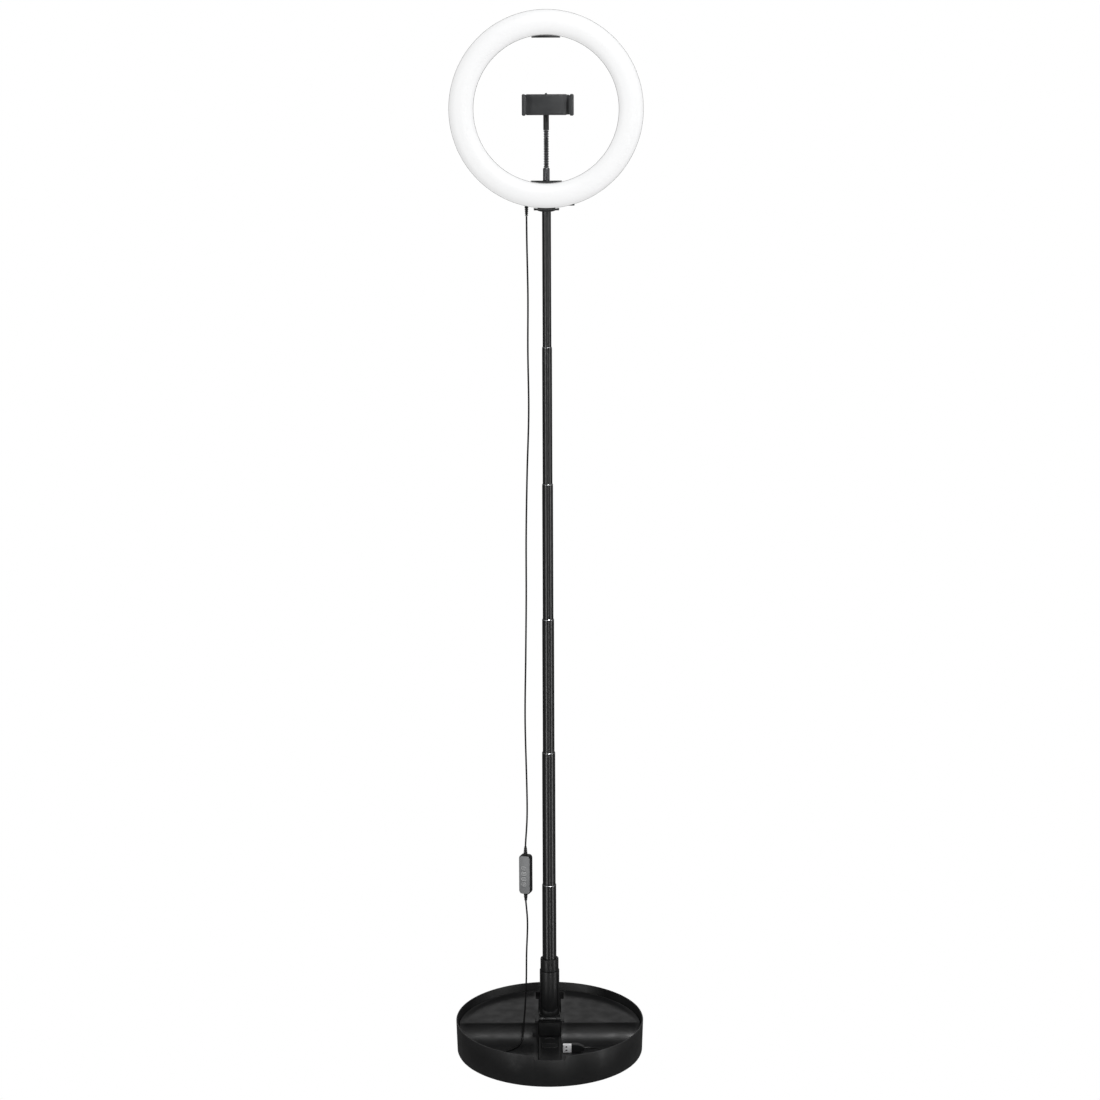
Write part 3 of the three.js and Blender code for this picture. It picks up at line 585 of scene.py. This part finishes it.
# ---- Base ----
def build_pan():
    """The round pan, with the front notch let into its rim."""
    segments = 360
    edge = 1.4 * MM
    inner = BASE_RADIUS - WALL
    verts, faces = [], []
    for s in range(segments):
        angle = 2 * math.pi * s / segments
        x, front = BASE_RADIUS * math.cos(angle), math.sin(angle) < 0
        ease = max(0.0, min(1.0, (NOTCH_HALF + 1.5 * MM - abs(x)) / (3 * MM))) if front else 0.0
        top = BASE_TOP - NOTCH_DEPTH * ease * ease * (3 - 2 * ease)
        profile = [
            (BASE_RADIUS - edge - 6 * MM, BASE_FLOOR),
            (BASE_RADIUS - edge - 1.6 * MM, BASE_FLOOR),
            (BASE_RADIUS - edge - 0.5 * MM, BASE_FLOOR + 0.4 * MM),
            (BASE_RADIUS - edge, BASE_FLOOR + 1.6 * MM),
            (BASE_RADIUS - edge * 0.5, (BASE_FLOOR + BASE_TOP) / 2),
            (BASE_RADIUS - 0.05 * MM, top - 0.8 * MM),
            (BASE_RADIUS - 0.3 * MM, top - 0.2 * MM),
            (BASE_RADIUS - 0.9 * MM, top),
            (inner + 0.3 * MM, top - 0.1 * MM),
            (inner, top - 0.6 * MM),
            (inner - edge, 3 * MM),
        ]
        for radius, height in profile:
            verts.append((radius * math.cos(angle), radius * math.sin(angle), height))
    count = len(profile)
    for s in range(segments):
        t = (s + 1) % segments
        for i in range(count - 1):
            faces.append([s * count + i, t * count + i, t * count + i + 1, s * count + i + 1])
    faces.append([s * count for s in range(segments)][::-1])
    faces.append([s * count + count - 1 for s in range(segments)])
    finish(new_object("base_pan_fine", verts, faces), "base_plastic", "base", "base_pan")


def build_tray():
    """Shelf, cove and well floor as one skin, cut round the rail and its ears."""
    radius = BASE_RADIUS - WALL - 1.7 * MM
    cove_y = SHELF_EDGE_Y - COVE_RADIUS
    cove_z = WELL_FLOOR + COVE_RADIUS
    section = [(y, WELL_FLOOR) for y in np.linspace(-radius * 0.9995, cove_y, 60)]
    for i in range(1, 25):
        angle = -math.pi / 2 * (1 - i / 25)
        y = cove_y + COVE_RADIUS * math.cos(angle)
        section.append((y, cove_z + COVE_RADIUS * math.sin(angle)))
    section.append((SHELF_EDGE_Y, SHELF_TOP - 0.5 * MM))
    section.append((SHELF_EDGE_Y + 0.2 * MM, SHELF_TOP - 0.1 * MM))
    section.append((SHELF_EDGE_Y + 0.6 * MM, SHELF_TOP))
    shelf = np.linspace(SHELF_EDGE_Y + 2 * MM, radius * 0.9995, 90)
    section += [(y, SHELF_TOP) for y in shelf]
    ear_half, slot_half, across = 21 * MM, RAIL_HALF + 1.2 * MM, 14
    for side in (-1, 1):
        verts, faces = [], []
        for y, z in section:
            outer = math.sqrt(max(0.0, radius * radius - y * y))
            inner = slot_half
            if 97 * MM <= y <= 126 * MM:
                inner = ear_half
            if y > 126 * MM:
                inner = 0.0
            inner = min(inner, outer)
            for k in range(across):
                verts.append((side * (inner + (outer - inner) * k / (across - 1)), y, z))
        for i in range(len(section) - 1):
            for k in range(across - 1):
                a = i * across + k
                faces.append([a, a + 1, a + across + 1, a + across])
        obj = new_object("tray_left" if side < 0 else "tray_right", verts, faces)
        thick = obj.modifiers.new("thickness", "SOLIDIFY")
        thick.thickness = 1.6 * MM
        up = obj.data.polygons[5].normal.z > 0
        thick.offset = -1 if up else 1
        apply_modifiers(obj)
        smooth_by_angle(obj)
        finish(obj, "base_plastic", "base", *(["tray"] if side < 0 else []))


def build_rail():
    finish(refined("rail", 0.5 * MM), "rail_plastic", "base", "rail")
    # Raised chevron in front of the carriage.
    outline = [(-7, -22.2), (0, -19), (7, -22.2), (7, -23.6), (0, -20.4), (-7, -23.6)]
    verts = [(x * MM, y * MM, z * MM) for z in (23.9, 24.5) for x, y in outline]
    faces = [[0, 1, 4, 5], [1, 2, 3, 4], [6, 7, 10, 11], [7, 8, 9, 10]]
    faces += [[i, (i + 1) % 6, 6 + (i + 1) % 6, 6 + i] for i in range(6)]
    finish(new_object("rail_chevron", verts, faces), "base_plastic", "base")
    finish(refined("latch_button", 0.4 * MM), "black_plastic", "latch", "latch_button")


def build_base():
    build_pan()
    build_tray()
    build_rail()
    for node in ("ballast_left", "ballast_right"):
        finish(refined(node, 0.5 * MM), "raw_steel", "base", node)
    finish(refined("rubber_foot", 0.15 * MM), "rubber", "base", "rubber_foot")
    finish(refined("latch_spring", 0.1 * MM), "steel", "base", "latch_spring")


# ---- Carriage, post and mast ----
def build_post():
    finish(refined("carriage_block", 0.6 * MM), "black_plastic", "carriage", "carriage_block")
    finish(refined("carriage_flange", 0.35 * MM), "black_plastic", "carriage", "carriage_flange")
    finish(refined("hinge_pin", 0.3 * MM), "steel", "carriage", "hinge_pin")
    finish(refined("hinge_foot", 0.5 * MM), "black_plastic", "post", "hinge_foot")
    finish(refined("socket", 0.3 * MM), "black_plastic", "post", "socket")
    low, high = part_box("clamp_collar")
    radius, bore = high.x, 10.3 * MM
    profile = [
        (bore, low.z), (radius - 0.4 * MM, low.z), (radius, low.z + 0.4 * MM),
        (radius, high.z - 1.4 * MM), (radius - 0.3 * MM, high.z - 0.5 * MM),
        (radius - 1 * MM, high.z), (bore + 0.3 * MM, high.z), (bore, high.z - 0.3 * MM),
    ]
    finish(lathe("collar_fine", profile, 96), "black_plastic", "collar", "clamp_collar")


def build_mast():
    bodies = ["post", "mast_2", "mast_3", "mast_4", "mast_5", "head"]
    for i, body in enumerate(bodies):
        node = f"mast_tube_{i + 1}"
        low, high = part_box(node)
        radius = high.x
        inner = radius - MAST_WALL
        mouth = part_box(f"mast_tube_{i + 2}")[1].x + MOUTH_GAP if i < 5 else inner
        profile = [
            (inner, low.z), (radius, low.z), (radius, high.z - 1.7 * MM),
            (radius - 0.3 * MM, high.z - 1.5 * MM), (radius - 0.3 * MM, high.z - 1.3 * MM),
            (radius, high.z - 1.1 * MM), (radius - 0.1 * MM, high.z - 0.6 * MM),
            (radius - 0.35 * MM, high.z - 0.15 * MM), (mouth + 0.1 * MM, high.z),
            (mouth, high.z - 0.2 * MM), (mouth, high.z - 0.9 * MM),
            (inner, high.z - 1.2 * MM),
        ]
        if i == 5:
            profile = [(inner, low.z), (radius, low.z), (radius, high.z), (inner, high.z)]
        finish(lathe(f"mast_fine_{i + 1}", profile, 96), "black_enamel", body, node)
        if i < 5:
            # The rolled mouth's bright edge.
            proud = radius + 0.02 * MM
            profile = [
                (radius - 0.6 * MM, high.z - 0.95 * MM), (proud, high.z - 0.95 * MM),
                (proud, high.z - 0.6 * MM), (radius - 0.3 * MM, high.z - 0.15 * MM),
                (radius - 0.6 * MM, high.z - 0.15 * MM),
            ]
            finish(lathe(f"mast_lip_{i + 1}", profile, 96), "steel", body)


# ---- Head bracket, tilt bolt and knob ----
def build_head():
    finish(refined("head_bracket", 0.5 * MM), "black_plastic", "head", "head_bracket")
    # A shallow cradle that follows the ring's underside.
    under = [(-17.6, 1202.7), (-15.5, 1201.2), (-11, 1199.2), (-7.5, 1198.2)]
    outline = under + [(-x, z) for x, z in reversed(under)] + [(12, 1201.9), (-12, 1201.9)]
    outline = [(x * MM, z * MM) for x, z in outline]
    cradle = extruded("saddle_cradle", outline, -7.6 * MM, 8 * MM)
    bevel(cradle, 0.4 * MM, 2, 40)
    finish(cradle, "black_plastic", "head")
    finish(refined("tilt_bolt", 0.2 * MM), "steel", "head", "tilt_bolt")
    finish(refined("tilt_knob", 0.6 * MM, 3), "black_plastic", "knob", "tilt_knob")


# ---- Ring ----
def ring_profile(offset, side, start, end, steps):
    middle = (RING_OUTER + RING_INNER) / 2
    half = (RING_OUTER - RING_INNER) / 2 - offset
    depth = RING_DEPTH - offset
    points = []
    for i in range(steps + 1):
        angle = start + (end - start) * i / steps
        points.append((middle + half * math.cos(angle), side * depth * math.sin(angle)))
    return points


def build_housing_fittings():
    """The gland, the tilt lug and its arm, which stand on the housing."""
    low, high = metres([(-31, 7, 1207.5), (-23, 18, 1216)])
    gland = box_mesh("housing_gland", low, high, 0.8 * MM, 3)
    finish(gland, "black_plastic", "ring", "rear_housing")
    profile = [(2.3, -4), (5.2, -4), (5.5, -3.7), (5.5, 3.7), (5.2, 4), (2.3, 4)]
    profile = [(radius * MM, x * MM) for radius, x in profile]
    lug = lathe("housing_lug", profile, 48, "X", (0, 23 * MM, 1216 * MM))
    finish(lug, "black_plastic", "ring")
    low, high = metres([(-4, 9, 1214), (4, 19, 1221.4)])
    arm = box_mesh("housing_lug_arm", low, high, 0.6 * MM)
    finish(arm, "black_plastic", "ring")


def build_back_screws():
    # Radius and distance behind the housing's crown, in mm, with the recess in the head.
    section = [(0, -1), (2.6, -1), (2.6, 0.9), (2.2, 1.5), (1.2, 1.7), (0.9, 0.7), (0, 0.6)]
    profile = [(radius * MM, RING_DEPTH + y * MM) for radius, y in section]
    replaced = {0: ["housing_screw_1"], 2: ["housing_screw_2"]}
    for i, degrees in enumerate((35, 90, 145, 215, 325)):
        x = BACK_SCREW_RADIUS * math.cos(math.radians(degrees))
        z = BACK_SCREW_RADIUS * math.sin(math.radians(degrees))
        screw = lathe(f"back_screw_{i + 1}", profile, 32, "Y", (x, 0, RING_Z + z))
        finish(screw, "steel", "ring", *replaced.get(i, []))


def build_ring():
    shell = 1.6 * MM
    seam = 0.04  # half the angle left open where the two shells meet
    centre = (0, 0, RING_Z)
    for name, side, look, node in (
        ("diffuser_fine", -1, "opal", "diffuser"),
        ("housing_shell", 1, "black_plastic", None),
    ):
        inset = 0.35 * MM if look == "opal" else 0
        profile = ring_profile(inset, side, seam, math.pi - seam, 28)
        profile += ring_profile(shell, side, math.pi - seam, seam, 20)
        obj = lathe(name, profile, 256, "Y", centre)
        finish(obj, look, "ring", *([node] if node else []))
    build_housing_fittings()
    build_back_screws()
    finish(refined("led_board", 0), "board", "ring", "led_board")
    finish(refined("accessory_boss", 0.5 * MM), "black_plastic", "ring", "accessory_boss")
    finish(refined("arm_boss", 0.5 * MM), "black_plastic", "ring", "arm_boss")


# ---- Phone arm and clamp ----
def build_arm():
    low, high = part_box("arm_ferrule")
    radius = high.x
    profile = [
        (0, low.z), (radius - 0.2 * MM, low.z), (radius, low.z + 0.4 * MM), (radius, high.z - 1.4 * MM),
        (radius - 0.5 * MM, high.z - 0.3 * MM), (radius - 0.9 * MM, high.z), (0, high.z),
    ]
    finish(lathe("ferrule_fine", profile, 64), "gunmetal", "ring", "arm_ferrule")
    low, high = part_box("gooseneck")
    pitch, root, crest = 3.2 * MM, 1.8 * MM, high.x
    bottom, top = low.z - 0.3 * MM, high.z + 0.3 * MM
    coils = round((top - bottom) / pitch)
    profile = [(0, bottom)]
    for i in range(coils * 6):
        swell = math.sin(math.pi * (i % 6 + 0.5) / 6)
        profile.append((root + (crest - root) * swell, bottom + (i + 0.5) / 6 * (top - bottom) / coils))
    profile.append((0, top))
    neck = lathe("gooseneck_fine", profile, 40)
    finish(neck, "gunmetal", None, "gooseneck")
    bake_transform(neck)
    finish(refined("arm_sleeve", 0.3 * MM), "black_plastic", "neck", "arm_sleeve")
    finish(refined("ball_nut", 0.4 * MM), "black_plastic", "ball", "ball_nut")


def build_clamp():
    low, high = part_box("holder_plate")
    center = ((low.x + high.x) / 2, 0, HOLDER_Z)
    half_x, half_z = (high.x - low.x) / 2, HOLDER_Z - low.z
    plate = rounded_plate(
        "clamp_plate", center, half_x, half_z, 1.6 * MM, low.y, high.y, 0.7 * MM
    )
    finish(plate, "satin_plastic", "holder", "holder_plate")
    # A shallow raised field on the plate, as on a moulded cover.
    field = rounded_plate(
        "clamp_field", center, half_x - 4 * MM, half_z - 1.8 * MM, 3 * MM,
        low.y - 0.35 * MM, low.y + 0.5 * MM, 0.3 * MM,
    )
    finish(field, "satin_plastic", "holder")
    # A thin lip at the back of the plate runs on behind both jaws.
    lip = rounded_plate(
        "clamp_lip", (1 * MM, 0, HOLDER_Z), 30.2 * MM, half_z - 0.6 * MM, 1.5 * MM,
        -8.5 * MM, -8.05 * MM, 0.12 * MM,
    )
    finish(lip, "satin_plastic", "holder")
    top = HOLDER_Z + half_z
    profile = [
        (0, top - 0.8 * MM), (2 * MM, top - 0.8 * MM), (1.6 * MM, top + 0.5 * MM),
        (1 * MM, top + 1.4 * MM), (0, top + 1.7 * MM),
    ]
    finish(lathe("clamp_screw", profile, 32, "Z", (0, low.y + 2.5 * MM, 0)), "satin_plastic", "holder")
    for node, body in (("jaw_right", "jaw"), ("jaw_left", "holder")):
        finish(refined(node, 0.8 * MM, 3), "satin_plastic", body, node)
        ribbed_pad(node, body)


def ribbed_pad(node, body):
    """A soft ribbed lining on the inner face of a jaw, in front of the plate."""
    inward = 1 if node == "jaw_left" else -1
    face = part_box(node)[1].x if inward > 0 else right_jaw_face()
    start, end = sorted((face - inward * 0.6 * MM, face + inward * 0.25 * MM))
    half_rib, pitch, count = 0.5 * MM, 2.4 * MM, 9
    for i in range(count):
        z = HOLDER_Z + (i - count // 2) * pitch
        low = (start, -22.4 * MM, z - half_rib)
        high = (end, -14.2 * MM, z + half_rib)
        rib = box_mesh(f"{node}_rib_{i + 1}", low, high, 0.2 * MM, 1)
        finish(rib, "rubber", body)


def right_jaw_face():
    """The inner face of the right jaw, found from the part of its mesh in front of the plate."""
    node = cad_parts["jaw_right"]
    points = [node.matrix_world @ v.co for v in node.data.vertices]
    return min(p.x for p in points if p.y < -14 * MM)


build_base()
build_post()
build_mast()
build_head()
build_ring()
build_arm()
build_clamp()


# ---- Floor, backdrop and lights ----
def seen_white(nodes, links, lit, glow_type):
    """White where the camera looks straight at it, and as it is lit for everything else."""
    path = nodes.new("ShaderNodeLightPath")
    glow = nodes.new(glow_type)
    glow.inputs["Color"].default_value = (1, 1, 1, 1)
    glow.inputs["Strength"].default_value = 1.0
    mix = nodes.new("ShaderNodeMixShader")
    links.new(path.outputs["Is Camera Ray"], mix.inputs["Fac"])
    links.new(lit.outputs[0], mix.inputs[1])
    links.new(glow.outputs[0], mix.inputs[2])
    return mix


def build_floor():
    rim = []
    for degrees in range(0, 360, 5):
        angle = math.radians(degrees)
        rim.append((FLOOR_RADIUS * math.cos(angle), FLOOR_RADIUS * math.sin(angle), 0))
    floor = new_object("floor", rim, [list(range(len(rim)))], smooth=False)
    paper = make_material("floor_paper", (0.8, 0.8, 0.8), 0.9, bump=0.05, mottle=0.01)
    nodes, links = paper.node_tree.nodes, paper.node_tree.links
    mix = seen_white(nodes, links, nodes["Principled BSDF"], "ShaderNodeEmission")
    links.new(mix.outputs[0], nodes["Material Output"].inputs["Surface"])
    floor.data.materials.append(paper)
    floor.visible_glossy = False


def build_world():
    world = bpy.data.worlds.new("studio")
    world.use_nodes = True
    nodes, links = world.node_tree.nodes, world.node_tree.links
    dim = nodes["Background"]
    dim.inputs["Color"].default_value = (1, 1, 1, 1)
    dim.inputs["Strength"].default_value = 0.12
    mix = seen_white(nodes, links, dim, "ShaderNodeBackground")
    links.new(mix.outputs[0], nodes["World Output"].inputs["Surface"])
    bpy.context.scene.world = world
    bpy.context.scene.view_settings.view_transform = "Standard"


def area_light(name, place, target, size, power):
    data = bpy.data.lights.new(name, "AREA")
    data.shape = "RECTANGLE"
    data.size, data.size_y = size
    data.energy = power
    light = bpy.data.objects.new(name, data)
    bpy.context.scene.collection.objects.link(light)
    light.location = place
    direction = Vector(target) - Vector(place)
    light.rotation_euler = direction.to_track_quat("-Z", "Y").to_euler()
    light.visible_camera = False


def build_lights():
    """Three tall strips in front, whose reflections run down the mast, and two soft panels."""
    middle = (0, 0, 0.45)
    area_light("strip_left", (-1.93, -2.3, 0.45), middle, (0.55, 3.6), 26)
    area_light("strip_middle", (0.62, -2.93, 0.45), middle, (0.3, 3.6), 13)
    area_light("strip_right", (2.72, -1.27, 0.45), middle, (0.55, 3.6), 24)
    area_light("overhead", (0.55, -1.26, 2.5), (0.09, 0, 0.02), (0.7, 0.35), 34)
    area_light("behind", (0.2, 3, 1.45), (0, 0, 0), (2.2, 0.5), 4)


build_floor()
build_world()
build_lights()
